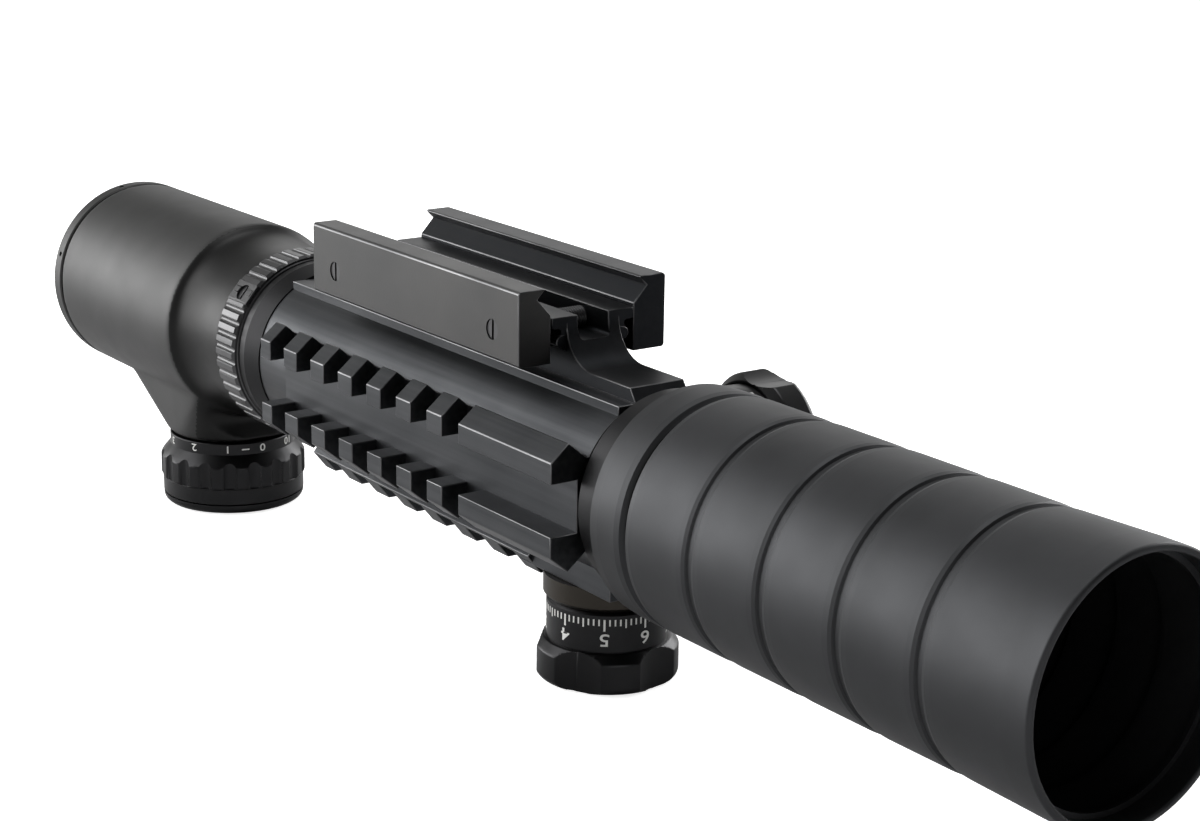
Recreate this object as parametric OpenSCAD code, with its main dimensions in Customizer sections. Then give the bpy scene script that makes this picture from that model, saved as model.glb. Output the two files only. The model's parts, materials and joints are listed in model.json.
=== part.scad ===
// Rail-mount variable-power optical sight, lying as stored: rail clamp up, turrets down.
// Millimetres. X runs along the optical axis from the eye end towards the objective end.
// The origin is on the optical axis at the rear rim of the eyepiece, and +Z is up.

/* [Eyepiece] */
// Outer radius of the eyepiece
eye_r = 20; // [19:0.1:24]
// Length of the cylindrical part of the eyepiece, with the focus ring
eye_len = 56.5; // [46:0.5:68]
// Length of the neck between the eyepiece shoulder and the zoom ring
neck_len = 16.7; // [13.5:0.1:20]
// Outer radius of the neck
neck_r = 17.2; // [16.6:0.1:18]
// Length of the concave cove between the shoulder and the neck
cove_len = 11; // [8:0.5:13]
// Size of the broken edge of the shoulder
shoulder_edge = 0.3; // [0.2:0.1:0.8]
// Length of the focus ring at the rear rim
focus_len = 3.4; // [2.5:0.1:5]
// Inner radius of the focus ring, the eye opening
eye_opening_r = 15.6; // [13:0.1:16]

/* [Zoom ring] */
// Outer radius of the zoom ring over its ridges
zoom_r = 18.3; // [17.5:0.1:22]
// Length of the zoom ring
zoom_len = 8; // [6.5:0.1:10]
// Number of ridges round the zoom ring
zoom_ridges = 44; // [24:1:48]
// Angle through which the zoom ring turns
zoom_turn = 150; // [90:5:180]
// Angle of the zoom ring's screw about the optical axis, from the top towards the near side
pin_angle = 50; // [35:1:65]
// Radius of the zoom ring's screw head
pin_head_r = 1.6; // [1.4:0.1:1.8]

/* [Body] */
// Outer radius of the body tube
tube_r = 16; // [15.5:0.1:18]
// Bore radius of the body tube
tube_bore = 13; // [12.8:0.1:13.6]
// Length of the body tube
tube_len = 107; // [100:0.5:130]
// Length of the collar between the zoom ring and the body
collar_len = 6.3; // [5:0.1:8]
// Height of the flat clamp pad above the axis
pad_z = 15.15; // [14.8:0.05:15.6]
// Half width of the flat clamp pad
pad_hw = 8.45; // [7.5:0.05:9]

/* [Accessory rails] */
// Half width of a rail at its widest edges
rail_hw = 10.6; // [10:0.1:11]
// Half width of a rail's top land
land_hw = 7.84; // [7.4:0.02:8.2]
// Depth of each sloping flank of a rail
flank = 3.4; // [2.6:0.1:3.8]
// Distance from the axis to the land of the two side rails
side_face = 21.27; // [20.5:0.01:22.5]
// Distance from the axis to the land of the turret-side rail
lower_face = 19.2; // [18.8:0.1:20.2]
// Half width of the channel along the middle of a rail
channel_hw = 4.3; // [3.5:0.1:5]
// Height above the axis of the flat floor of the channel and the cross slots
rail_floor = 16.25; // [16.1:0.05:17]
// Distance between two cross slots
slot_pitch = 10.01; // [9.5:0.01:11]
// Width of a cross slot
slot_w = 5.23; // [4.6:0.01:5.6]
// Number of cross slots
slot_count = 7; // [3:1:8]
// Length of the plain front stretch of the side rail
plain_len = 27.2; // [24:0.1:32]
// Length of the last tooth at the rear
last_tooth = 3.7; // [3:0.1:5]

/* [Rail clamp] */
// Length of the clamp jaws
jaw_len = 68; // [60:0.5:80]
// Distance from the body's front face back to the jaws
jaw_setback = 19.3; // [17:0.1:24]
// Half width over the outer faces of the jaws
jaw_outer = 14.7; // [14:0.1:16.5]
// Thickness of a jaw below its vee
jaw_t = 6.3; // [5.6:0.1:7]
// Height of the jaws' lower edge above the axis
jaw_z0 = 17.9; // [17.7:0.1:18.6]
// Height of the jaws' upper edge above the axis
jaw_z1 = 30.6; // [30:0.1:32]
// Depth of the vee groove in a jaw
vee_depth = 2.6; // [2:0.1:3]
// Half width of the base plate and the pedestal's neck
base_hw = 5.3; // [4.8:0.1:6]
// Thickness of the base plate
base_t = 2.35; // [2:0.05:2.8]
// Radius of the concave ends of the pedestal
cove_r = 7; // [5:0.5:8]
// Height of the seat above the axis
seat_z = 25.5; // [25.3:0.1:26]
// Half width of the seat
seat_hw = 8.2; // [7.8:0.1:8.3]
// Half width of the channel along the seat
trough_hw = 3.05; // [2.8:0.05:3.4]
// Height of the channel's floor above the axis
trough_z = 21.3; // [20.8:0.1:22]
// Radius of the cross screws
cross_r = 1.7; // [1.5:0.1:2.5]
// Height of the cross screws above the axis
cross_z = 22.9; // [22.6:0.1:23.1]
// Distance of each cross screw from its end of the jaws
cross_inset = 7.9; // [7:0.1:12]

/* [Sunshade] */
// Outer radius of the sunshade
shade_r = 19.65; // [19.2:0.05:24]
// Outer radius of the sunshade's front rim
rim_r = 19.95; // [19.4:0.05:24.5]
// Distance between two grooves of the sunshade
groove_pitch = 16.6; // [13.8:0.1:20]
// Length of the sunshade in front of its last groove
nose_len = 20.9; // [17:0.1:25]
// Depth of a groove
groove_d = 0.65; // [0.4:0.05:0.9]
// Width of a groove
groove_w = 1.1; // [0.8:0.1:1.6]
// Wall of the sunshade at its rim
shade_wall = 1.2; // [1:0.1:2]
// Gap between the body's front face and the bell ring
front_gap = 7.6; // [6:0.1:9]
// Length of the bell ring behind the sunshade
bell_len = 8.8; // [7:0.1:11]
// Outer radius of the collar seen in the front gap
front_collar_r = 17.3; // [16.9:0.1:17.8]
// Clear radius of the objective cell round the lenses
objective_r = 15.6; // [14.5:0.1:15.8]

/* [Turrets] */
// Distance from the body's front face back to the adjusting turrets
turret_setback = 14; // [13.2:0.1:18]
// Distance from the axis to the face that a turret stands on
saddle_face = 17.4; // [17.2:0.1:18]
// Radius of a turret's fixed base
base_r = 10.85; // [10.5:0.05:11.5]
// Height of a turret's fixed base
turret_base_h = 4; // [3.4:0.1:5]
// Radius of the numbered dial
dial_r = 10.3; // [9.8:0.1:11]
// Height of the numbered dial
dial_h = 7; // [5.8:0.1:8.5]
// Radius of the grip
grip_r = 12.15; // [11.6:0.05:14.5]
// Height of the grip
grip_h = 7; // [6:0.1:8.5]
// Number of shallow scallops round the grip
scallops = 5; // [4:1:8]
// Turn of the scallops about the turret axis
grip_turn = 12; // [0:1:71]
// Radius of the threaded bush in each turret
bush_r = 4.6; // [4.2:0.1:5]
// Radius of the lead screw that pushes the inner tube
spindle_r = 2; // [1.6:0.1:2.4]

/* [Illumination turret] */
// Distance from the rear rim to the illumination turret's axis
lamp_x = 44; // [42:0.5:46]
// Radius of the illumination turret's grip
lamp_r = 15; // [14.4:0.1:18]
// Radius of its numbered band
band_r = 13; // [12.6:0.1:13.6]
// Distance from the axis to the lower face of the boss
boss_face = 25.4; // [25:0.1:27]
// Distance from the boss's axis back to where it runs out into the eyepiece
boss_reach = 20; // [12:0.5:22]
// Radius of the concave waist in front of the boss
waist_r = 5; // [4:0.5:6]
// Height of the grip and band together
lamp_h = 12.7; // [12:0.1:15]
// Height of the battery cap
cap_h = 2.1; // [1.6:0.1:2.6]
// Number of flutes round the grip
flutes = 18; // [12:1:24]
// Radius of the button cell
cell_r = 10; // [8:0.1:10]
// Thickness of the button cell
cell_t = 3.2; // [2.5:0.1:3.2]

/* [Inner optics] */
// Outer radius of the tilting inner tube
inner_r = 10.6; // [10.2:0.1:10.8]
// Wall of the tilting inner tube
inner_wall = 1; // [0.8:0.05:1.1]
// Wall of the cam tube
cam_wall = 0.9; // [0.8:0.05:1]
// Travel of the two erecting lens cells
cell_travel = 9; // [6:0.5:11]
// Width of the cam slots
cam_slot = 2.1; // [1.8:0.1:2.4]

/* [Fits] */
// Running clearance on a radius
run = 0.06; // [0.03:0.01:0.09]
// Gap between parts that pass each other
gap = 0.25; // [0.2:0.05:0.3]
// Clearance round a screw in its hole
screw_gap = 0.05; // [0.03:0.01:0.08]

/* [Hidden] */
$fn = 72;
eps = 0.5;
far = 60;
neck_end = eye_len + neck_len;
zoom_x = neck_end + gap;
collar_x = zoom_x + zoom_len + gap;
tube_x = collar_x + collar_len - gap;
tube_end = tube_x + tube_len;
turret_x = tube_end - turret_setback;
plain_x = tube_end - plain_len;
rail_rear = plain_x - slot_w - (slot_count - 1) * slot_pitch - last_tooth;
tooth = slot_pitch - slot_w;
short_rail_end = plain_x + tooth;
jaw_x1 = tube_end - jaw_setback;
jaw_x0 = jaw_x1 - jaw_len;
base_z = pad_z + base_t;
cross_x = [jaw_x1 - cross_inset, jaw_x0 + cross_inset];
base_screw_x = [for (f = [0.25, 0.5, 0.75]) jaw_x0 + f * jaw_len];
bell_x = tube_end + front_gap;
bell_end = bell_x + bell_len;
shade_x = bell_end + 2 * gap;
shade_end = bell_end + 4 * groove_pitch + nose_len;
thread_len = 7;
nose_r = front_collar_r - 0.5;
base_bottom = saddle_face + turret_base_h;
dial_top = base_bottom + gap;
dial_bottom = dial_top + dial_h;
grip_bottom = dial_bottom + grip_h;
lamp_top = boss_face + gap;
lamp_bottom = lamp_top + lamp_h;
cap_bottom = lamp_bottom + cap_h;
hub_r = 11;
hub_h = 5;
spigot_r = 14.9;
light_r = 11.6;
pivot_x = tube_x + 13;
inner_front = turret_x + 5;
cam_r = inner_r - inner_wall - run;
cam_bore = cam_r - cam_wall;
cell_r_out = cam_bore - run;
pin_x = zoom_x + zoom_len / 2;
cam_x0 = pin_x - 1.4;
cam_x1 = inner_front - 18;
front_cell_x = pivot_x + 34;
rear_cell_x = pivot_x + 14;
cell_len = 10;
spring_x = inner_front - 3.5;
ocular_r = eye_r - 2.5;
stub_r = 1;

// ---- shapes ----
// Points of an arc, from angle a to angle b.
function arc(cx, cy, r, a, b, n = 8) = [for (i = [0:n]) let (t = a + (b - a) * i / n) [cx + r * cos(t), cy + r * sin(t)]];

// A turned solid about the X axis, from points [x, radius].
module turned_x(points) {
    rotate([0, 90, 0]) rotate_extrude() polygon([for (p = points) [p[1], p[0]]]);
}

module rod_x(x0, x1, r) {
    translate([x0, 0, 0]) rotate([0, 90, 0]) cylinder(h = x1 - x0, r = r);
}

module tube_along_x(x0, x1, r_out, r_in) {
    difference() {
        rod_x(x0, x1, r_out);
        rod_x(x0 - eps, x1 + eps, r_in);
    }
}

// A turned solid about a turret axis, from points [radius, distance from the optical axis].
module turned_down(points) {
    rotate_extrude() polygon([for (p = points) [p[0], -p[1]]]);
}

module rod_down(d0, d1, r) {
    translate([0, 0, -d1]) cylinder(h = d1 - d0, r = r);
}

// A prism along X, from an outline in Y and Z.
module prism_x(x0, x1, points) {
    translate([x0, 0, 0]) rotate([90, 0, 90]) linear_extrude(height = x1 - x0) polygon(points);
}

// A prism along Y, from an outline in X and Z.
module prism_y(half, points) {
    translate([0, half, 0]) rotate([90, 0, 0]) linear_extrude(height = 2 * half) polygon(points);
}

module block(x0, x1, y0, y1, z0, z1) {
    translate([x0, y0, z0]) cube([x1 - x0, y1 - y0, z1 - z0]);
}

// A biconvex or meniscus lens: rear and front sagittas are positive where the face bulges outwards.
function bow(x, r, sag, n = 8) = [for (i = [0:n]) let (t = i / n) [x + sag * (1 - t * t), r * t]];
function reversed(list) = [for (i = [len(list) - 1:-1:0]) list[i]];
module lens(x0, x1, r, rear_sag, front_sag) {
    turned_x(concat(bow(x0, r, -rear_sag), reversed(bow(x1, r, front_sag))));
}

// ---- body ----
module rail_outline(face) {
    polygon([[-land_hw, face], [-rail_hw, face - flank], [-land_hw, face - 2 * flank], [-land_hw, tube_bore - 2],
        [land_hw, tube_bore - 2], [land_hw, face - 2 * flank], [rail_hw, face - flank], [land_hw, face],
        [channel_hw, face], [channel_hw, rail_floor], [-channel_hw, rail_floor], [-channel_hw, face]]);
}

// One toothed rail, standing up from the axis, between the rear end and x1.
module rail(face, x1) {
    difference() {
        translate([rail_rear, 0, 0]) rotate([90, 0, 90]) linear_extrude(height = x1 - rail_rear) rail_outline(face);
        for (k = [0:slot_count - 1])
            block(plain_x - slot_w - k * slot_pitch, plain_x - k * slot_pitch, -far, far, rail_floor, far);
    }
}

module turret_saddle() {
    block(short_rail_end - 4, tube_end, -rail_hw + 1, rail_hw - 1, tube_bore - 2, saddle_face);
}

module spring_pocket() {
    rotate([45, 0, 0]) block(spring_x - 17, spring_x + 1, -3, 3, 0, tube_bore + 0.6);
}

module main_body() {
    color([0.27, 0.28, 0.29]) difference() {
        union() {
            rod_x(tube_x, tube_end, tube_r);
            rotate([90, 0, 0]) rail(side_face, tube_end);
            rotate([-90, 0, 0]) rail(side_face, short_rail_end);
            rotate([180, 0, 0]) rail(lower_face, short_rail_end);
            rotate([180, 0, 0]) turret_saddle();
            rotate([-90, 0, 0]) turret_saddle();
            block(tube_x, tube_end, -pad_hw, pad_hw, tube_bore - 2, pad_z);
        }
        block(tube_x - eps, tube_end + eps, -pad_hw - eps, pad_hw + eps, pad_z, far);
        rod_x(tube_x - eps, tube_end + eps, tube_bore);
        for (turn = [0, 90]) rotate([turn, 0, 0]) translate([turret_x, 0, 0]) {
            rod_down(saddle_face, far, base_r + gap);
            rod_down(0, saddle_face + eps, bush_r + screw_gap);
        }
        for (x = base_screw_x) translate([x, 0, 0]) cylinder(h = far, r = 1.5 + screw_gap);
        translate([pivot_x, 0, -tube_bore - 1.6]) cylinder(h = 2 * tube_bore + 3.2, r = stub_r + run);
        spring_pocket();
    }
}

// ---- rail clamp ----
// Half of the seat's outline: a lobe, a round notch and the upper edge that the jaw closes on.
function seat_half() = concat([[base_hw, trough_z - 1.6]],
    arc(seat_hw - 2, trough_z, 1.1, -90, 90, 6),
    arc(seat_hw - 1.3, seat_z - 2.5, 0.6, 270, 90, 6),
    arc(seat_hw - 0.6, seat_z - 1.3, 0.6, -90, 0, 4),
    [[seat_hw, seat_z]]);

module clamp_base() {
    half = seat_half();
    color([0.22, 0.22, 0.22]) difference() {
        union() {
            prism_y(base_hw, concat(
                [[tube_end + 0.3, pad_z], [tube_end - 1.3, base_z]],
                reversed(arc(jaw_x1 + cove_r, base_z + cove_r, cove_r, 180, 270)),
                [[jaw_x1, seat_z], [jaw_x0, seat_z]],
                reversed(arc(jaw_x0 - cove_r, base_z + cove_r, cove_r, -90, 0)),
                [[jaw_x0 - cove_r - 2, base_z], [jaw_x0 - cove_r - 3.6, pad_z]]));
            prism_x(jaw_x0, jaw_x1, concat(half, reversed([for (p = half) [-p[0], p[1]]])));
        }
        prism_x(jaw_x0 - far, jaw_x1 + far, concat(
            [[trough_hw, seat_z + eps]],
            arc(trough_hw - 0.8, trough_z + 0.8, 0.8, 0, -90, 4),
            arc(0.8 - trough_hw, trough_z + 0.8, 0.8, 270, 180, 4),
            [[-trough_hw, seat_z + eps]]));
        for (x = cross_x) translate([x, far, cross_z]) rotate([90, 0, 0]) cylinder(h = 2 * far, r = cross_r + screw_gap);
        for (x = base_screw_x) translate([x, 0, 0]) {
            cylinder(h = far, r = 1.5 + screw_gap);
            translate([0, 0, base_z + 1]) cylinder(h = far, r = 2.6);
        }
    }
}

function jaw_outline(inner) = [[inner, jaw_z0], [inner, seat_z + 0.6], [inner + vee_depth, seat_z + 3.4],
    [inner + 1.2, jaw_z1 - 0.3], [inner + 1.5, jaw_z1], [jaw_outer - 0.4, jaw_z1], [jaw_outer, jaw_z1 - 0.4],
    [jaw_outer, jaw_z0 + 0.4], [jaw_outer - 0.4, jaw_z0]];

module jaw_plate(inner, hole) {
    difference() {
        prism_x(jaw_x0, jaw_x1, jaw_outline(inner));
        for (x = cross_x) translate([x, far, cross_z]) rotate([90, 0, 0]) cylinder(h = 2 * far, r = hole);
    }
}

module near_jaw() {
    color([0.38, 0.38, 0.37]) mirror([0, 1, 0]) jaw_plate(jaw_outer - jaw_t, cross_r + run);
}

module far_jaw() {
    color([0.24, 0.24, 0.24]) jaw_plate(seat_hw, cross_r + screw_gap);
}

// A cross screw: flush slotted end at the near jaw, low hexagon-socket head behind the far jaw.
module cross_screw(x) {
    color([0.12, 0.12, 0.13]) translate([x, 0, cross_z]) rotate([90, 0, 0]) difference() {
        union() {
            translate([0, 0, -jaw_outer]) cylinder(h = 2 * jaw_outer - 0.2, r = cross_r);
            translate([0, 0, -jaw_outer - 2.2]) cylinder(h = 2.2, r = 3.5);
        }
        translate([0, 0, -jaw_outer - 2.7]) cylinder(h = 2, r = 1.7, $fn = 6);
        translate([-0.3, -cross_r, jaw_outer - 1.2]) cube([0.6, 2 * cross_r, 2]);
    }
}

module cross_screw_front() { cross_screw(cross_x[0]); }
module cross_screw_rear() { cross_screw(cross_x[1]); }

module base_screw(i) {
    color([0.1, 0.1, 0.1]) translate([base_screw_x[i], 0, 0]) difference() {
        union() {
            translate([0, 0, tube_bore + 0.3]) cylinder(h = base_z + 1.5 - tube_bore, r = 1.5);
            translate([0, 0, base_z + 1]) cylinder(h = 2.2, r = 2.5);
        }
        translate([0, 0, base_z + 1.8]) cylinder(h = 3, r = 1.3, $fn = 6);
    }
}

module base_screw_1() { base_screw(0); }
module base_screw_2() { base_screw(1); }
module base_screw_3() { base_screw(2); }

// ---- objective end ----
seat_x = bell_x + 1;
lens_gap = 0.15;
glue = 0.02;
flint_x = seat_x + 0.05;
crown_x = flint_x + 2.2;
crown_t = 3.2;
doublet_sag = 1.2;
crown_sag = 1.5;
cell_end = shade_x + thread_len;

module objective_cell() {
    color([0.1, 0.1, 0.1]) turned_x([
        [tube_end - 11, light_r], [tube_end - 11, tube_bore - screw_gap], [tube_end, tube_bore - screw_gap],
        [tube_end, tube_bore + 1], [tube_end + 1.4, tube_bore + 1], [tube_end + 1.4, front_collar_r - 0.5],
        [tube_end + 1.9, front_collar_r], [bell_x, front_collar_r], [bell_x, nose_r], [cell_end, nose_r],
        [cell_end, objective_r], [seat_x, objective_r], [seat_x, light_r]]);
}

module bell_ring() {
    r = shade_r - 0.25;
    color([0.33, 0.34, 0.35]) turned_x([
        [bell_x, nose_r], [bell_x, r - 0.5], [bell_x + 0.5, r], [bell_x + 2.5, r + 0.15],
        [bell_end - 1.8, shade_r], [bell_end - 0.6, shade_r - 0.15], [bell_end - 0.2, shade_r - groove_d],
        [bell_end, shade_r - groove_d - 0.2], [bell_end, nose_r]]);
}

module shade_seal() {
    color([0.03, 0.03, 0.03])
        tube_along_x(bell_end + gap / 4, shade_x - gap / 4, shade_r - groove_d - 0.3, nose_r + run);
}

// Profile of one barrel-shaped stretch between two grooves.
function barrel(x0, x1) = let (h = groove_w / 2, r = shade_r) [
    [x0 + h, r - groove_d], [x0 + h + 0.25, r - 0.25], [x0 + h + 0.9, r - 0.05], [x0 + h + 2, r],
    [x1 - h - 2, r], [x1 - h - 0.9, r - 0.05], [x1 - h - 0.25, r - 0.25], [x1 - h, r - groove_d]];

module sunshade() {
    last = bell_end + 4 * groove_pitch;
    h = groove_w / 2;
    r_in = rim_r - shade_wall;
    baffle_pitch = (shade_end - cell_end - 6) / 9;
    color([0.3, 0.31, 0.32]) turned_x(concat(
        [[shade_x, nose_r + run], [shade_x, shade_r - groove_d - 0.2], [shade_x + 0.2, shade_r - groove_d],
            [shade_x + 0.6, shade_r - 0.15], [shade_x + 1.6, shade_r], [bell_end + groove_pitch - h - 2, shade_r],
            [bell_end + groove_pitch - h - 0.9, shade_r - 0.05],
            [bell_end + groove_pitch - h - 0.25, shade_r - 0.25], [bell_end + groove_pitch - h, shade_r - groove_d]],
        [for (k = [1:3]) each barrel(bell_end + k * groove_pitch, bell_end + (k + 1) * groove_pitch)],
        [[last + h, shade_r - groove_d], [last + h + 0.25, shade_r - 0.25], [last + h + 0.9, shade_r - 0.05],
            [last + h + 2, shade_r], [shade_end - 5, rim_r]],
        arc(shade_end - 0.6, rim_r - 0.6, 0.6, 90, 0, 5),
        arc(shade_end - 0.4, r_in + 0.4, 0.4, 0, -90, 4),
        [[shade_end - 4, r_in]],
        [for (k = [0:8]) let (x = shade_end - 4 - k * baffle_pitch) each
            [[x, r_in - 0.9], [x - 0.7, r_in - 0.9], [x - 0.7, r_in - 0.2]]],
        [[cell_end + 1, r_in - 0.2], [cell_end + 1, nose_r + run]]));
}

// The two lenses are cemented: the crown's rear face fills the flint's hollow front face.
module objective_flint() {
    color([0.5, 0.62, 0.66, 0.4])
        lens(flint_x, crown_x - glue, objective_r - lens_gap, -0.8, -doublet_sag);
}

module objective_crown() {
    color([0.45, 0.6, 0.66, 0.4])
        lens(crown_x, crown_x + crown_t, objective_r - lens_gap, doublet_sag, crown_sag);
}

// A threaded ring with two spanner slots, clear of the crown's bulging face.
module objective_retainer() {
    x = crown_x + crown_t + 0.35;
    color([0.07, 0.07, 0.07]) difference() {
        tube_along_x(x, x + 2.4, objective_r - screw_gap, objective_r - 1.4);
        for (turn = [0, 90]) rotate([turn, 0, 0]) block(x + 1.4, x + 3, -far, far, -0.75, 0.75);
    }
}

// ---- zoom ring and eye end ----
module rear_collar() {
    color([0.1, 0.1, 0.1]) difference() {
        turned_x([[neck_end - 8, light_r], [neck_end - 8, spigot_r], [collar_x, spigot_r],
            [collar_x, front_collar_r - 0.4], [collar_x + 0.4, front_collar_r], [collar_x + 2.2, front_collar_r],
            [tube_x, tube_r + 0.2], [tube_x, tube_bore - screw_gap], [tube_x + 9, tube_bore - screw_gap],
            [tube_x + 9, light_r]]);
        rotate([0, 90, 0]) rotate([0, 0, 180 + pin_angle - zoom_turn - 5]) rotate_extrude(angle = zoom_turn + 10)
            translate([light_r - 1, pin_x - 1.4]) square([spigot_r, 2.8]);
        translate([neck_end - 4.4, 0, -far]) cylinder(h = far, r = 1.45);
    }
}

module zoom_ring() {
    ridge = 0.75;
    flute_r = 0.62;
    color([0.24, 0.24, 0.25]) difference() {
        union() {
            turned_x([[zoom_x, spigot_r + run], [zoom_x, zoom_r - ridge - 0.4], [zoom_x + 0.4, zoom_r - ridge],
                [zoom_x + zoom_len - 0.4, zoom_r - ridge], [zoom_x + zoom_len, zoom_r - ridge - 0.4],
                [zoom_x + zoom_len, spigot_r + run]]);
            difference() {
                turned_x([[zoom_x + 0.2, spigot_r + 1], [zoom_x + 0.2, zoom_r - 0.4], [zoom_x + 0.6, zoom_r],
                    [zoom_x + zoom_len - 0.9, zoom_r], [zoom_x + zoom_len - 0.3, zoom_r - 0.6],
                    [zoom_x + zoom_len - 0.3, spigot_r + 1]]);
                for (k = [0:zoom_ridges - 1]) rotate([(k + 0.5) * 360 / zoom_ridges, 0, 0])
                    translate([zoom_x - eps, 0, zoom_r + 0.12]) rotate([0, 90, 0])
                        cylinder(h = zoom_len + 1, r = flute_r, $fn = 24);
            }
            rotate([pin_angle, 0, 0]) block(zoom_x + 0.2, zoom_x + zoom_len - 0.3, -2.2, 2.2, spigot_r + 1, zoom_r - 0.1);
        }
        rotate([pin_angle, 0, 0]) translate([pin_x, 0, 0]) cylinder(h = far, r = pin_head_r + screw_gap);
    }
}

// The slotted screw that ties the zoom ring to the cam tube.
module zoom_pin() {
    color([0.16, 0.13, 0.11]) rotate([pin_angle, 0, 0]) translate([pin_x, 0, 0]) difference() {
        union() {
            translate([0, 0, cam_bore + 0.2]) cylinder(h = zoom_r - cam_bore - 3, r = 1);
            translate([0, 0, spigot_r + 0.5]) cylinder(h = zoom_r - spigot_r - 1, r = pin_head_r);
        }
        translate([-0.25, -2, zoom_r - 1.1]) cube([0.5, 4, 2]);
    }
}

// The boss's skin: from the round face of the lamp knob up into two rear corners and a broad front root.
module lamp_boss_hull() {
    slice = 1;
    corner_r = 7;
    corner_y = 6;
    root_hw = 14;
    hull() {
        translate([lamp_x, 0, -boss_face]) cylinder(h = slice, r = band_r, $fn = 48);
        for (side = [-1, 1]) translate([lamp_x - boss_reach, side * corner_y, -eye_r + 5])
            cylinder(h = slice, r = corner_r, $fn = 32);
        block(lamp_x, eye_len, -root_hw, root_hw, -eye_r + corner_r, -eye_r + corner_r + slice);
    }
}

module eyepiece_housing() {
    color([0.2, 0.2, 0.2]) difference() {
        union() {
            turned_x(concat([[focus_len + gap, ocular_r - 1], [focus_len + gap, eye_r - 0.15], [focus_len + gap + 0.5, eye_r],
                [eye_len - shoulder_edge, eye_r]],
                [for (t = [0:10:90]) [eye_len + cove_len * (1 - cos(t)),
                    eye_r - shoulder_edge - (eye_r - shoulder_edge - neck_r) * sin(t)]],
                [[neck_end, neck_r], [neck_end, spigot_r - 1]]));
            intersection() {
                difference() {
                    lamp_boss_hull();
                    translate([eye_len + 0.65 * waist_r, 0, -boss_face + waist_r]) rotate([90, 0, 0])
                        cylinder(h = 2 * far, r = waist_r, center = true);
                }
                block(0, eye_len, -far, far, -boss_face, 0);
            }
            translate([lamp_x, 0, 0]) rod_down(boss_face - 1, boss_face + hub_h, hub_r);
        }
        rod_x(0, eye_len - 6.5, ocular_r + run);
        rod_x(0, far * 2, spigot_r + screw_gap);
        translate([lamp_x, 0, 0]) rod_down(eye_r - 0.8, far, hub_r - 2);
    }
}

module focus_ring() {
    color([0.16, 0.16, 0.16]) difference() {
        turned_x(concat(arc(0.7, eye_opening_r + 0.7, 0.7, 270, 180, 4), arc(0.45, eye_r - 0.45, 0.45, 180, 90, 4),
            [[focus_len - 0.3, eye_r], [focus_len, eye_r - 0.3], [focus_len, eye_opening_r]]));
        for (k = [0:5]) rotate([k * 60 + 12, 0, 0]) translate([1.9, 0, eye_r - 0.5]) cylinder(h = 2, r = 0.55);
    }
}

module ocular_cell() {
    x = focus_len + 2.6;
    color([0.08, 0.08, 0.08]) turned_x([[x, eye_opening_r], [x, ocular_r], [x + 24, ocular_r], [x + 24, 14.2],
        [x + 14.5, 14.2], [x + 14.5, 13.2], [x + 10.5, 13.2], [x + 10.5, eye_opening_r - 0.2], [x, eye_opening_r - 0.2]]);
}

module eye_lens() {
    x = focus_len + 5.4;
    color([0.45, 0.58, 0.6, 0.4]) lens(x + 1.2, x + 6.4, eye_opening_r - 0.35, 1.1, 1.2);
}

module field_lens() {
    x = focus_len + 17.2;
    color([0.45, 0.58, 0.6, 0.4]) lens(x + 1.2, x + 4.6, 14.1, 0.9, 1.2);
}

module ocular_retainer() {
    x = focus_len + 2.8;
    color([0.06, 0.06, 0.06]) difference() {
        tube_along_x(x, x + 2.4, eye_opening_r - 0.2 - screw_gap, eye_opening_r - 1.8);
        block(x - 1, x + 0.8, -far, far, -0.8, 0.8);
    }
}

// ---- inner tube, cam and lens cells ----
module gimbal_ring() {
    color([0.62, 0.55, 0.36]) difference() {
        union() {
            tube_along_x(pivot_x - 2, pivot_x + 2, tube_bore - 0.12, inner_r + 0.5);
            for (side = [0, 180]) rotate([side, 0, 0]) translate([pivot_x, 0, inner_r + 0.7])
                cylinder(h = tube_bore + 0.9 - inner_r, r = stub_r);
        }
        translate([pivot_x, far, 0]) rotate([90, 0, 0]) cylinder(h = 2 * far, r = stub_r + run);
    }
}

module inner_tube() {
    color([0.5, 0.5, 0.52]) difference() {
        union() {
            tube_along_x(pivot_x - 4, inner_front, inner_r, inner_r - inner_wall);
            for (side = [90, -90]) rotate([side, 0, 0]) translate([pivot_x, 0, inner_r - inner_wall + 0.2])
                cylinder(h = tube_bore - inner_r + 0.6, r = stub_r);
        }
        block(rear_cell_x - 1.2, front_cell_x + cell_travel + 2.4, -1.2, 1.2, 0, far);
    }
}

// Cam slots: two slots that carry the cell pins along while the tube turns.
module cam_cut(x, travel) {
    steps = 30;
    for (i = [0:steps]) rotate([zoom_turn * i / steps, 0, 0])
        translate([x + travel * i / steps, 0, cam_bore - 2]) cylinder(h = 6, r = cam_slot / 2, $fn = 16);
}

module cam_tube() {
    color([0.66, 0.6, 0.42]) difference() {
        tube_along_x(cam_x0, cam_x1, cam_r, cam_bore);
        cam_cut(front_cell_x, cell_travel);
        cam_cut(rear_cell_x, cell_travel * 0.6);
        rotate([pin_angle, 0, 0]) block(cam_x0 - eps, pin_x + 1.3, -1.3, 1.3, 0, far);
    }
}

module lens_cell(x) {
    tube_along_x(x - cell_len / 2, x + cell_len / 2, cell_r_out, cell_r_out - 1.4);
}

module cell_pin(x) {
    translate([x, 0, cell_r_out - 1.2]) cylinder(h = inner_r - cell_r_out + 1, r = cam_slot / 2 - 0.25);
}

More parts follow.
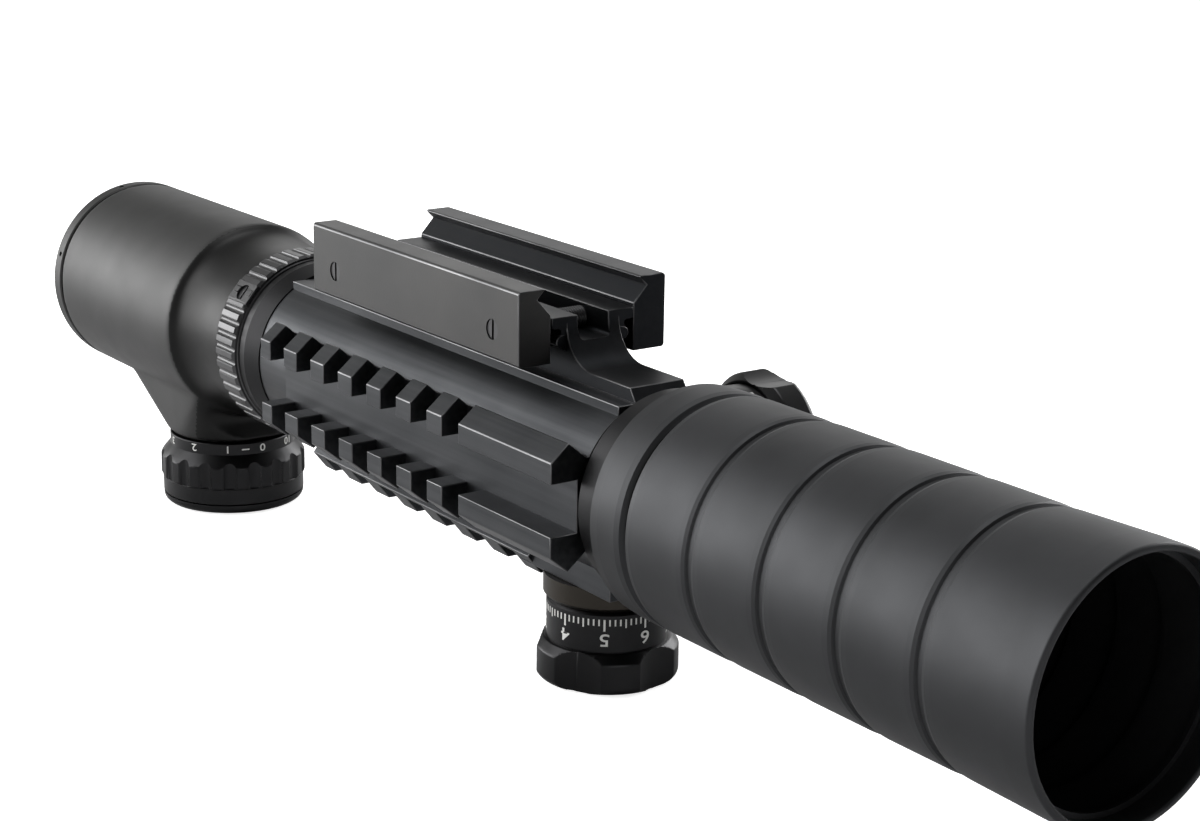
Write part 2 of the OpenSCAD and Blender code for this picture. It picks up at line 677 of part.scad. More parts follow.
module front_cell() { color([0.3, 0.3, 0.32]) difference() { lens_cell(front_cell_x); pin_hole(front_cell_x); } }
module rear_cell() { color([0.3, 0.3, 0.32]) difference() { lens_cell(rear_cell_x); pin_hole(rear_cell_x); } }
module pin_hole(x) { translate([x, 0, 2]) cylinder(h = far, r = cam_slot / 2 - 0.25 + 0.02); }
module front_cell_pin() { color([0.75, 0.72, 0.6]) cell_pin(front_cell_x); }
module rear_cell_pin() { color([0.75, 0.72, 0.6]) cell_pin(rear_cell_x); }
module front_cell_lens() { color([0.5, 0.65, 0.7, 0.4]) lens(front_cell_x - 2, front_cell_x + 2, cell_r_out - 1.45, 0.8, 1.4); }
module rear_cell_lens() { color([0.5, 0.65, 0.7, 0.4]) lens(rear_cell_x - 2, rear_cell_x + 2, cell_r_out - 1.45, 1.4, 0.8); }

module reticle_cell() {
    color([0.07, 0.07, 0.07]) tube_along_x(neck_end - 7.4, neck_end - 1.4, light_r - screw_gap, 9.5);
}

module reticle_glass() {
    color([0.6, 0.7, 0.72, 0.35]) rod_x(neck_end - 5.2, neck_end - 3.6, 9.45);
}

// A leaf spring in its pocket, opposite the two lead screws.
module bias_spring() {
    r_top = tube_bore + 0.5;
    r_low = inner_r + 1;
    t = 0.4;
    color([0.7, 0.7, 0.68]) rotate([45, 0, 0]) prism_y(2.4, [[spring_x - 16, r_top], [spring_x - 11, r_top],
        [spring_x - 6, r_low + t], [spring_x - 3, r_low + t], [spring_x, r_low + 4 * t], [spring_x, r_low + 3 * t],
        [spring_x - 3, r_low], [spring_x - 6, r_low], [spring_x - 11, r_top - t], [spring_x - 16, r_top - t]]);
}

// ---- adjusting turrets ----
module at_elevation() { translate([turret_x, 0, 0]) children(); }
module at_windage() { translate([turret_x, 0, 0]) rotate([90, 0, 0]) children(); }

module turret_base() {
    difference() {
        turned_down([[bush_r + screw_gap, saddle_face], [base_r, saddle_face], [base_r, base_bottom - 0.6],
            [base_r - 0.6, base_bottom], [bush_r + screw_gap, base_bottom]]);
        translate([7.6, 0, -base_bottom - eps]) cylinder(h = 2.3 + eps, r = 0.85);
    }
}

module turret_click() {
    translate([7.6, 0, -base_bottom + 0.8]) sphere(r = 0.8, $fn = 24);
}

// Threaded bush: held in the body, it guides the lead screw.
module turret_bush() {
    difference() {
        union() {
            rod_down(tube_bore + 0.4, base_bottom + 3, bush_r);
        }
        rod_down(0, far, spindle_r + run);
    }
}

module turret_dial() {
    difference() {
        turned_down([[bush_r + run, dial_top], [dial_r - 0.5, dial_top], [dial_r, dial_top + 0.5],
            [dial_r, dial_bottom], [spindle_r + 0.6, dial_bottom], [spindle_r + 0.6, base_bottom + 3.4],
            [bush_r + run, base_bottom + 3.4]]);
        for (k = [0:11]) rotate([0, 0, k * 30]) translate([7.6, 0, -dial_top - 0.15]) cylinder(h = 1, r = 0.5);
    }
}

module turret_grip() {
    s = 360 / scallops;
    cut_r = 16;
    color([0.09, 0.09, 0.09]) difference() {
        turned_down(concat([[0, dial_bottom], [dial_r + 0.5, dial_bottom], [grip_r - 0.3, dial_bottom + 1.1],
            [grip_r, dial_bottom + 1.5]], arc(grip_r - 1.4, grip_bottom - 1.4, 1.4, 0, 75, 6),
            [[grip_r - 2.2, grip_bottom], [0, grip_bottom]]));
        for (k = [0:scallops - 1]) rotate([0, 0, k * s + grip_turn]) translate([grip_r + cut_r - 1.35, 0, -grip_bottom - eps])
            cylinder(h = grip_h + 1, r = cut_r, $fn = 64);
        rod_down(dial_bottom - eps, dial_bottom + 2.4, spindle_r + 0.6);
        rod_down(grip_bottom - 2, far, 3.4 + screw_gap);
        rod_down(dial_bottom + 3, far, 1.5);
    }
}

module turret_cap_screw() {
    difference() {
        union() {
            rod_down(grip_bottom - 2, grip_bottom - 0.4, 3.4);
            rod_down(dial_bottom + 3.2, grip_bottom - 1, 1.5 - screw_gap);
        }
        translate([-4, -0.5, -grip_bottom - 0.2]) cube([8, 1, 1.2]);
    }
}

module turret_spindle() {
    rod_down(inner_r + 0.06, dial_bottom + 0.6, spindle_r);
}

brown_grey = [0.3, 0.28, 0.25];
black = [0.09, 0.09, 0.09];
steel = [0.6, 0.6, 0.6];
module elevation_base() { color(brown_grey) at_elevation() turret_base(); }
module elevation_click() { color(steel) at_elevation() turret_click(); }
module elevation_bush() { color(steel) at_elevation() turret_bush(); }
module elevation_dial() { color(black) at_elevation() turret_dial(); }
module elevation_grip() { at_elevation() turret_grip(); }
module elevation_cap_screw() { color(steel) at_elevation() turret_cap_screw(); }
module elevation_spindle() { color(steel) at_elevation() turret_spindle(); }
module windage_base() { color(brown_grey) at_windage() turret_base(); }
module windage_click() { color(steel) at_windage() turret_click(); }
module windage_bush() { color(steel) at_windage() turret_bush(); }
module windage_dial() { color(black) at_windage() turret_dial(); }
module windage_grip() { at_windage() turret_grip(); }
module windage_cap_screw() { color(steel) at_windage() turret_cap_screw(); }
module windage_spindle() { color(steel) at_windage() turret_spindle(); }

// ---- illumination turret ----
pocket_top = lamp_bottom - 1.2 - cell_t - 0.3;

module at_lamp() { translate([lamp_x, 0, 0]) children(); }

module lamp_knob() {
    color([0.08, 0.08, 0.08]) at_lamp() difference() {
        turned_down([[0, lamp_top], [band_r, lamp_top], [band_r, lamp_top + 2.4], [band_r + 0.4, lamp_top + 2.8],
            [lamp_r - 0.6, lamp_top + 3.9], [lamp_r, lamp_top + 4.8], [lamp_r, lamp_bottom - 3.6],
            [lamp_r - 0.35, lamp_bottom - 3.2], [lamp_r - 0.35, lamp_bottom], [0, lamp_bottom]]);
        for (k = [0:flutes - 1]) rotate([0, 0, (k + 0.5) * 360 / flutes])
            translate([lamp_r + 1.3, 0, -lamp_bottom + 3.4]) cylinder(h = lamp_h, r = 2, $fn = 24);
        rod_down(lamp_top - eps, boss_face + hub_h + gap, hub_r + run);
        rod_down(pocket_top, far, cell_r + 0.3);
        rod_down(lamp_bottom - 1, far, cell_r + 2.1);
        rod_down(lamp_top, pocket_top + eps, 3);
    }
}

module battery_cap() {
    color([0.08, 0.08, 0.08]) at_lamp() difference() {
        turned_down(concat([[0, lamp_bottom - 0.9], [cell_r + 2.05, lamp_bottom - 0.9], [cell_r + 2.05, lamp_bottom + 0.2],
            [lamp_r - 0.4, lamp_bottom + 0.2]], arc(lamp_r - 2, cap_bottom - 1.6, 1.6, 0, 80, 5),
            [[lamp_r - 2.6, cap_bottom], [0, cap_bottom]]));
        block(-6, 6, -0.8, 0.8, -cap_bottom - eps, -cap_bottom + 0.8);
    }
}

module battery() {
    color([0.75, 0.75, 0.76]) at_lamp() rod_down(lamp_bottom - 1.1 - cell_t, lamp_bottom - 1.1, cell_r);
}

module contact_spring() {
    top = boss_face + 2.6;
    color([0.72, 0.6, 0.3]) at_lamp()
        turned_down([[1.2, top], [2.2, top], [2.6, pocket_top - 0.2], [1.6, pocket_top - 0.2]]);
}

module circuit_board() {
    color([0.1, 0.35, 0.16]) at_lamp() rod_down(boss_face + 1, boss_face + 2.4, hub_r - 2.1);
}

module lamp_holder() {
    color([0.6, 0.1, 0.08]) translate([neck_end - 4.4, 0, 0]) rod_down(light_r + 0.2, spigot_r - 0.1, 1.4);
}

main_body();
clamp_base();
near_jaw();
far_jaw();
cross_screw_front();
cross_screw_rear();
base_screw_1();
base_screw_2();
base_screw_3();
objective_cell();
bell_ring();
shade_seal();
sunshade();
objective_flint();
objective_crown();
objective_retainer();
rear_collar();
zoom_ring();
zoom_pin();
gimbal_ring();
inner_tube();
cam_tube();
front_cell();
front_cell_lens();
front_cell_pin();
rear_cell();
rear_cell_lens();
rear_cell_pin();
reticle_cell();
reticle_glass();
bias_spring();
elevation_base();
elevation_click();
elevation_bush();
elevation_dial();
elevation_grip();
elevation_cap_screw();
elevation_spindle();
windage_base();
windage_click();
windage_bush();
windage_dial();
windage_grip();
windage_cap_screw();
windage_spindle();
eyepiece_housing();
focus_ring();
ocular_cell();
eye_lens();
field_lens();
ocular_retainer();
lamp_knob();
battery_cap();
battery();
contact_spring();
circuit_board();
lamp_holder();
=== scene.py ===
# %% [markdown]
# # A rail-mount optical sight, lying on its two knobs
# This notebook dresses a finished mechanical frame. The frame gives every part its place and its motion;
# the cells below give each part its edges, markings and finish, then set the floor, lights and camera.

# %% Load the frame
import json
import math
import bmesh
import bpy
from mathutils import Matrix, Vector

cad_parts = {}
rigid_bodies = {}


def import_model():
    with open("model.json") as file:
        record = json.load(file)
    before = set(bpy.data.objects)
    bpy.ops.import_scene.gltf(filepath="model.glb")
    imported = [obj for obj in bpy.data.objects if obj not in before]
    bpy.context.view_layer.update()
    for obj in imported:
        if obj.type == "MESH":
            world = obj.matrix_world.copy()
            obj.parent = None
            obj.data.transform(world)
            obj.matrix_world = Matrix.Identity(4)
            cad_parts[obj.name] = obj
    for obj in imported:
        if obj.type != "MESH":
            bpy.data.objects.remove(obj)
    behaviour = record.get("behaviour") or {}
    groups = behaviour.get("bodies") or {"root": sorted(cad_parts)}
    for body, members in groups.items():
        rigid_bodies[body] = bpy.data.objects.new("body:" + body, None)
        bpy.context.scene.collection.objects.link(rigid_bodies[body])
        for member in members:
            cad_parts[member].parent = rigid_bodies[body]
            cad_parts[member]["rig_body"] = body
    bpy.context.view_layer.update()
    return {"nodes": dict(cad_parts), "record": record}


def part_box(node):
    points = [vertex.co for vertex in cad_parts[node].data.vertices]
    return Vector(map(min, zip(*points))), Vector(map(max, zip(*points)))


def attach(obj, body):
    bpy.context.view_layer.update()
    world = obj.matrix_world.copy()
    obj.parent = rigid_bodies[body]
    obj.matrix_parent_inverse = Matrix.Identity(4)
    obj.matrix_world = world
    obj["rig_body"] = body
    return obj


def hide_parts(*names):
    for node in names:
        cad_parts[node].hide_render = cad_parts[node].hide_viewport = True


for leftover in list(bpy.data.objects):
    bpy.data.objects.remove(leftover)
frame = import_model()
nodes = frame["nodes"]
MM = 0.001

# %% [markdown]
# ## Stations and small helpers
# Pieces are placed from the boxes of the parts they belong to, so nothing here repeats a drawing. Every new
# piece is made the same way: a mesh is built in memory, written out as mesh data and put into the scene.

# %% Stations and small helpers
def middle(node):
    low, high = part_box(node)
    return (low + high) / 2


def body_of(node):
    return nodes[node]["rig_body"]


def added(name, data):
    thing = bpy.data.objects.new(name, data)
    bpy.context.scene.collection.objects.link(thing)
    return thing


def mesh_of(shape, name):
    data = bpy.data.meshes.new(name)
    shape.to_mesh(data)
    shape.free()
    return data


LAMP = middle("lamp_knob")
print("lamp knob at x", round(LAMP.x / MM, 2), "mm")

# %% [markdown]
# ## Camera
# A 75 mm lens on a 36 mm wide sensor stands in front of the sunshade, on the near side and a little above.
# Its axes are written as unit vectors, because a level camera couldn't have the slight roll of this view.

# %% Camera
CAMERA_AT = (0.50253, -0.23078, 0.11952)
ACROSS = Vector((0.57604, 0.81730, 0.01407)).normalized()
AHEAD = Vector((-0.78564, 0.55832, -0.26655)).normalized()

camera_data = bpy.data.cameras.new("camera")
camera_data.lens = 75.0
camera_data.sensor_width = 36.0
camera_data.clip_start = 0.01
camera = added("camera", camera_data)
bpy.context.scene.camera = camera
turn = Matrix((ACROSS, ACROSS.cross(AHEAD), -AHEAD)).transposed()
camera.matrix_world = Matrix.Translation(CAMERA_AT) @ turn.to_4x4()
print("camera at", [round(v, 3) for v in camera.location])

# %% [markdown]
# ## Floor
# The sight rests on the rims of its two knobs, which hang to different depths, so the floor follows the
# line between them. The paper shines a little to the camera, which keeps it white, but the metal sees a
# duller sheet, because a white floor mirrored in dark metal would wash out the underside.

# %% Floor
FLOOR_HALF = 4.0
FLOOR_GAP = 0.1 * MM
CAP_RIM = 12.5 * MM
PAPER_TO_METAL = (0.72, 0.72, 0.725, 1)
PAPER_TO_EYE = (0.95, 0.95, 0.95, 1)
PAPER_GLOW = 0.80


def foot(node):
    low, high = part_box(node)
    return Vector(((low.x + high.x) / 2, 0, low.z))


def paper_material():
    paper = bpy.data.materials.new("paper_floor")
    paper.use_nodes = True
    tree = paper.node_tree
    shader = tree.nodes["Principled BSDF"]
    shader.inputs["Roughness"].default_value = 0.9
    shader.inputs["Specular IOR Level"].default_value = 0.1
    shader.inputs["Emission Color"].default_value = (1, 1, 1, 1)
    seen = tree.nodes.new("ShaderNodeLightPath").outputs["Is Camera Ray"]
    tone = tree.nodes.new("ShaderNodeMix")
    tone.data_type = "RGBA"
    tone.inputs["A"].default_value = PAPER_TO_METAL
    tone.inputs["B"].default_value = PAPER_TO_EYE
    glow = tree.nodes.new("ShaderNodeMath")
    glow.operation = "MULTIPLY"
    glow.inputs[1].default_value = PAPER_GLOW
    tree.links.new(seen, tone.inputs["Factor"])
    tree.links.new(seen, glow.inputs[0])
    tree.links.new(tone.outputs["Result"], shader.inputs["Base Color"])
    tree.links.new(glow.outputs[0], shader.inputs["Emission Strength"])
    return paper


lamp_foot, grip_foot = foot("battery_cap"), foot("elevation_grip")
slope = math.atan2(grip_foot.z - lamp_foot.z, grip_foot.x - lamp_foot.x)
floor_shape = bmesh.new()
bmesh.ops.create_grid(floor_shape, x_segments=8, y_segments=8, size=FLOOR_HALF)
floor = added("floor", mesh_of(floor_shape, "floor"))
floor.rotation_euler = (0, -slope, 0)
floor.location = lamp_foot - Vector((0, 0, CAP_RIM * math.tan(slope) + FLOOR_GAP))
floor.data.materials.append(paper_material())
bpy.context.scene.view_settings.view_transform = "Standard"
print("floor slopes", round(math.degrees(slope), 2), "degrees")

# %% [markdown]
# ## Sky and lamps
# Anodised metal shows what it reflects, so a bright side and a dark side draw its shape. The sky is plain
# white to the camera, but what it sheds on the metal fades from white on the left to nearly black on the
# right. Large softboxes add the long highlights along the tube.

# %% Sky and lamps
SKY_GLOW = 0.55
BRIGHT_SIDE = (-0.84, -0.50, -0.20)
SKY_STOPS = ((0.28, (0.05, 0.05, 0.053, 1)), (0.92, (1.0, 1.0, 0.98, 1)))
CENTRE = (0.15, 0.0, 0.0)
SOFTBOXES = (
    # name, place, aim, width, height, power in watts
    ("key", (-0.35, -0.75, 0.60), CENTRE, 0.8, 0.5, 5.0),
    ("side", (-0.75, -0.74, 0.12), CENTRE, 1.1, 0.5, 11.0),
    ("back", (-0.72, 0.72, 0.42), CENTRE, 0.9, 0.5, 1.5),
    ("far_side", (0.10, 1.15, 0.40), CENTRE, 1.0, 0.5, 11.0),
    ("front", (0.95, -0.25, 0.12), (0.25, 0.0, 0.0), 0.3, 0.3, 0.8),
    ("top", (0.05, 0.15, 1.0), CENTRE, 0.5, 0.7, 4.0),
)


def white_studio():
    world = bpy.data.worlds.new("studio")
    world.use_nodes = True
    tree = world.node_tree
    tree.nodes.clear()
    out, mix, seen, glow, path, way, facing, half, ramp = [tree.nodes.new(kind) for kind in (
        "ShaderNodeOutputWorld", "ShaderNodeMixShader", "ShaderNodeBackground", "ShaderNodeBackground",
        "ShaderNodeLightPath", "ShaderNodeTexCoord", "ShaderNodeVectorMath", "ShaderNodeMath",
        "ShaderNodeValToRGB")]
    seen.inputs["Color"].default_value = (1, 1, 1, 1)
    seen.inputs["Strength"].default_value = 1.0
    glow.inputs["Strength"].default_value = SKY_GLOW
    facing.operation = "DOT_PRODUCT"
    facing.inputs[1].default_value = BRIGHT_SIDE
    half.operation = "MULTIPLY_ADD"
    half.inputs[1].default_value = 0.5
    half.inputs[2].default_value = 0.5
    for stop, (place, colour) in zip(ramp.color_ramp.elements, SKY_STOPS):
        stop.position = place
        stop.color = colour
    for a, b in (
        (way.outputs["Generated"], facing.inputs[0]),
        (facing.outputs["Value"], half.inputs[0]),
        (half.outputs[0], ramp.inputs["Fac"]),
        (ramp.outputs["Color"], glow.inputs["Color"]),
        (path.outputs["Is Camera Ray"], mix.inputs["Fac"]),
        (glow.outputs[0], mix.inputs[1]),
        (seen.outputs[0], mix.inputs[2]),
        (mix.outputs[0], out.inputs["Surface"]),
    ):
        tree.links.new(a, b)
    return world


def softbox(name, place, aim, wide, tall, power):
    data = bpy.data.lights.new(name, "AREA")
    data.shape = "RECTANGLE"
    data.size = wide
    data.size_y = tall
    data.energy = power
    lamp = added(name, data)
    lamp.location = place
    lamp.rotation_mode = "QUATERNION"
    lamp.rotation_quaternion = (Vector(aim) - Vector(place)).to_track_quat("-Z", "Y")


bpy.context.scene.world = white_studio()
for settings in SOFTBOXES:
    softbox(*settings)
print(len(SOFTBOXES), "softboxes and a sky")

# %% [markdown]
# ## Finishes
# Anodised aluminium is metal under a dyed skin, so it is a dark metal with a fine blasted grain, not a
# paint. One recipe makes all of the finishes: a base colour that drifts a little between two tones, a grain
# bump at the real scale, and fine tool lines that run round a turned part or along a milled one.

# %% The finish recipe
ALONG_X = (0.02, 1, 1)
ROUND_X = (1, 0.03, 0.03)
ROUND_Z = (0.03, 0.03, 1)
CLOUD_SCALE, SMEAR_SCALE, STREAK_SCALE, LINE_SCALE = 55, 130, 700, 1500
CLOUD_FROM, CLOUD_TO = 0.35, 0.70
ROUGH_DRIFT = 0.035
GRAIN_DEEP, LINE_DEEP = 0.02 * MM, 0.03 * MM


def link(tree, a, b):
    tree.links.new(a, b)


def noise(tree, place, scale, detail=3.0, stretch=(1, 1, 1)):
    spread = tree.nodes.new("ShaderNodeMapping")
    spread.inputs["Scale"].default_value = stretch
    link(tree, place, spread.inputs["Vector"])
    grain = tree.nodes.new("ShaderNodeTexNoise")
    grain.inputs["Scale"].default_value = scale
    grain.inputs["Detail"].default_value = detail
    link(tree, spread.outputs[0], grain.inputs["Vector"])
    return grain.outputs["Fac"]


def span(tree, value, low, high, out_low, out_high):
    scale = tree.nodes.new("ShaderNodeMapRange")
    scale.inputs["From Min"].default_value = low
    scale.inputs["From Max"].default_value = high
    scale.inputs["To Min"].default_value = out_low
    scale.inputs["To Max"].default_value = out_high
    link(tree, value, scale.inputs["Value"])
    return scale.outputs[0]


def bumped(tree, height, strength, deep):
    bump = tree.nodes.new("ShaderNodeBump")
    bump.inputs["Strength"].default_value = strength
    bump.inputs["Distance"].default_value = deep
    link(tree, height, bump.inputs["Height"])
    return bump


def finish(name, dark, light, rough, metal=1.0, grain=0.10, grain_scale=4200, lines=0.0,
           line_stretch=ALONG_X, specular=0.5, streaks=0.0):
    material = bpy.data.materials.new(name)
    material.use_nodes = True
    tree = material.node_tree
    shader = tree.nodes["Principled BSDF"]
    shader.inputs["Metallic"].default_value = metal
    shader.inputs["Specular IOR Level"].default_value = specular
    place = tree.nodes.new("ShaderNodeTexCoord").outputs["Object"]
    tone = tree.nodes.new("ShaderNodeValToRGB")
    for stop, at, colour in zip(tone.color_ramp.elements, (CLOUD_FROM, CLOUD_TO), (dark, light)):
        stop.position = at
        stop.color = (*colour, 1)
    drift = noise(tree, place, CLOUD_SCALE, 5.0)
    if streaks:
        both = tree.nodes.new("ShaderNodeMath")
        both.operation = "MULTIPLY_ADD"
        both.inputs[1].default_value = streaks
        link(tree, noise(tree, place, STREAK_SCALE, 4.0, line_stretch), both.inputs[0])
        link(tree, span(tree, drift, 0.0, 1.0, 0.0, 1.0 - streaks), both.inputs[2])
        drift = both.outputs[0]
    link(tree, drift, tone.inputs["Fac"])
    link(tree, tone.outputs["Color"], shader.inputs["Base Color"])
    smear = noise(tree, place, SMEAR_SCALE, 4.0)
    link(tree, span(tree, smear, 0.2, 0.8, rough - ROUGH_DRIFT, rough + ROUGH_DRIFT),
         shader.inputs["Roughness"])
    surface = bumped(tree, noise(tree, place, grain_scale, 2.0), grain, GRAIN_DEEP)
    if lines:
        blasted = surface
        surface = bumped(tree, noise(tree, place, LINE_SCALE, 3.0, line_stretch), lines, LINE_DEEP)
        link(tree, blasted.outputs[0], surface.inputs["Normal"])
    link(tree, surface.outputs[0], shader.inputs["Normal"])
    return material


print("finish recipe ready")

# %% [markdown]
# The body and clamp are hard-anodised after blasting; the sunshade and eyepiece are turned and finer, with
# a softer sheen; the knobs are smoother still. Edges that hands and rails rub have lost some dye, and their
# brighter finish is partly that wear and partly a painted highlight along the edge.

# %% The finishes
BODY = finish("body_anodised", (0.036, 0.038, 0.041), (0.070, 0.072, 0.076), 0.42, grain=0.22,
              grain_scale=3600, lines=0.22, line_stretch=ALONG_X, streaks=0.6)
CLAMP = finish("clamp_anodised", (0.054, 0.054, 0.054), (0.064, 0.063, 0.062), 0.46, grain=0.5,
               grain_scale=2600)
# A darker copy of the clamp anodise for the far jaw and the clamp base: painted shade for the side turned
# away from the lamps.
JAW_PAINTED_SHADE = finish("far_jaw_anodised_painted_shade", (0.014, 0.015, 0.017), (0.020, 0.021, 0.023), 0.44, grain=0.2,
                  lines=0.12, line_stretch=ALONG_X, streaks=0.5)
# Brighter finish for bevel faces: partly worn dye, partly a painted highlight on the edge.
WORN_GLINT_EDGE = finish("worn_edge_and_painted_glint", (0.075, 0.075, 0.078), (0.15, 0.15, 0.153), 0.36, grain=0.10)
SHADE = finish("shade_satin", (0.044, 0.045, 0.047), (0.056, 0.057, 0.060), 0.54, grain=0.16,
               lines=0.16, line_stretch=ROUND_X)
HOUSING = finish("housing_satin", (0.054, 0.054, 0.054), (0.064, 0.064, 0.064), 0.53, grain=0.14)
# A darker copy of the housing finish for the forward-facing cove: painted shade.
COVE_PAINTED_SHADE = finish("housing_cove_painted_shade", (0.022, 0.022, 0.022), (0.029, 0.029, 0.029), 0.44, grain=0.12)
RING = finish("ring_anodised", (0.070, 0.070, 0.072), (0.095, 0.095, 0.097), 0.36, grain=0.12)
KNOB = finish("knob_smooth", (0.024, 0.024, 0.025), (0.034, 0.034, 0.035), 0.36, grain=0.05,
              lines=0.06, line_stretch=ROUND_Z)
BRONZE = finish("turret_base", (0.036, 0.032, 0.027), (0.050, 0.045, 0.039), 0.38, grain=0.10,
                lines=0.12, line_stretch=ROUND_Z)
STEEL_DARK = finish("black_oxide_steel", (0.06, 0.06, 0.062), (0.09, 0.09, 0.092), 0.38, grain=0.10)
STEEL = finish("bright_steel", (0.45, 0.45, 0.46), (0.58, 0.58, 0.59), 0.28, grain=0.08)
BRASS = finish("brass", (0.55, 0.40, 0.16), (0.68, 0.50, 0.22), 0.30, grain=0.08)
INNER = finish("inner_alloy", (0.30, 0.30, 0.31), (0.40, 0.40, 0.41), 0.38, grain=0.10)
COLLAR = finish("collar_black", (0.020, 0.020, 0.021), (0.028, 0.028, 0.029), 0.45, grain=0.12)
MATT = finish("matt_black", (0.006, 0.006, 0.006), (0.009, 0.009, 0.009), 0.85, metal=0.0, grain=0.4,
              grain_scale=2600, specular=0.2)
RUBBER = finish("seal_rubber", (0.010, 0.010, 0.010), (0.016, 0.016, 0.016), 0.62, metal=0.0,
                grain=0.2, specular=0.3)
BOARD = finish("board_green", (0.010, 0.055, 0.022), (0.016, 0.080, 0.032), 0.42, metal=0.0, grain=0.1)
LAMP_RED = finish("lamp_red", (0.30, 0.012, 0.010), (0.40, 0.018, 0.014), 0.25, metal=0.0, grain=0.04)
PAINT = finish("marking_paint", (0.62, 0.62, 0.60), (0.76, 0.76, 0.74), 0.55, metal=0.0, grain=0.1)


def coated_glass():
    material = bpy.data.materials.new("coated_glass")
    material.use_nodes = True
    tree = material.node_tree
    shader = tree.nodes["Principled BSDF"]
    shader.inputs["Roughness"].default_value = 0.04
    shader.inputs["Specular IOR Level"].default_value = 0.5
    # The base colour turns from near black to a purple tint towards grazing angles: a painted reflection of
    # the lens coating.
    sheen = tree.nodes.new("ShaderNodeLayerWeight")
    sheen.inputs["Blend"].default_value = 0.35
    painted_coating_reflection = tree.nodes.new("ShaderNodeValToRGB")
    painted_coating_reflection.color_ramp.elements[0].color = (0.004, 0.006, 0.006, 1)
    painted_coating_reflection.color_ramp.elements[1].color = (0.030, 0.022, 0.040, 1)
    link(tree, sheen.outputs["Facing"], painted_coating_reflection.inputs["Fac"])
    link(tree, painted_coating_reflection.outputs["Color"], shader.inputs["Base Color"])
    return material


FINISH_OF_SLOT = {
    "body_black": BODY, "clamp_black": CLAMP, "collar_black": COLLAR, "shade_grey": SHADE,
    "eyepiece_black": HOUSING, "ring_black": RING, "knob_black": KNOB, "turret_bronze": BRONZE,
    "screw_steel": STEEL_DARK, "bright_steel": STEEL, "brass": BRASS, "inner_alloy": INNER,
    "matt_black": MATT, "coated_glass": coated_glass(), "seal_rubber": RUBBER, "board_green": BOARD,
    "lamp_red": LAMP_RED,
}
for thing in nodes.values():
    for slot in thing.material_slots:
        slot.material = FINISH_OF_SLOT[slot.material.name.split(".")[0]]
print(len(FINISH_OF_SLOT), "slots have their finish")

# %% [markdown]
# ## Broken edges
# No machined part leaves the shop with knife edges. Each edge is broken by a fraction of a millimetre, and
# that thin facet is what catches the light and draws the shape. A bevel in mesh code does it: flat facets
# are merged first, then each convex edge sharper than a set angle is cut, unless it is only a few bevels
# long, and the new faces get the brighter edge finish, which is partly wear and partly a painted highlight.

# %% Machined copies
SLOT_OF = {part["node"]: part["material_slot"] for part in frame["record"]["subparts"]}
EDGE_BREAK, KNOB_BREAK = 0.16 * MM, 0.18 * MM
SAME_POINT = 0.002 * MM
FLAT = math.radians(1.0)
CORNER = math.radians(26)
SHORTEST_CUT = 3


def machined(node, width=EDGE_BREAK, edge=WORN_GLINT_EDGE, base=None):
    shape = bmesh.new()
    shape.from_mesh(nodes[node].data)
    bmesh.ops.remove_doubles(shape, verts=shape.verts, dist=SAME_POINT)
    bmesh.ops.dissolve_limit(shape, angle_limit=FLAT, verts=shape.verts, edges=shape.edges)
    shape.normal_update()
    for face in shape.faces:
        face.material_index = 0
    for e in shape.edges:
        e.smooth = not (e.is_manifold and e.calc_face_angle(0.0) > CORNER)
    cut = [e for e in shape.edges
           if not e.smooth and e.is_convex and e.calc_length() > SHORTEST_CUT * width]
    bmesh.ops.bevel(shape, geom=cut, offset=width, segments=2, profile=0.5, affect="EDGES",
                    clamp_overlap=False, material=1, loop_slide=True)
    for face in shape.faces:
        face.smooth = True
    piece = added(node + "_made", mesh_of(shape, node + "_made"))
    slot_name = SLOT_OF[node]
    piece.data.materials.append(base or FINISH_OF_SLOT[slot_name])
    piece.data.materials.append(edge)
    even = piece.modifiers.new("even_normals", "WEIGHTED_NORMAL")
    even.keep_sharp = True
    even.weight = 80
    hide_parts(node)
    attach(piece, body_of(node))
    return piece


print("helper for broken edges ready")

# %% [markdown]
# The rails, the clamp and the knobs are the milled parts, so those are the copies that get broken edges.
# Turned tubes keep the frame's own mesh, whose edges are already rounded.

# %% Milled parts
# The far jaw and the clamp base take the darker copy: painted shade on the far side.
METAL_OF = {"main_body": BODY, "clamp_base": JAW_PAINTED_SHADE, "near_jaw": CLAMP, "far_jaw": JAW_PAINTED_SHADE}

for node, metal in METAL_OF.items():
    made = machined(node, base=metal)
    print(node, len(made.data.polygons), "faces")

# %% [markdown]
# ## Screw threads
# The two cross screws show their threads where they pass through the open trough of the clamp. A thread is
# a ridge that climbs one pitch a turn, so the radius of a fine tube is made to depend on both the height
# along the screw and the angle round it.

# %% Screw threads
THREAD_PITCH = 0.5 * MM
THREAD_DEPTH = 0.22 * MM
THREAD_INSET = 0.4 * MM
AROUND, PER_PITCH = 40, 8


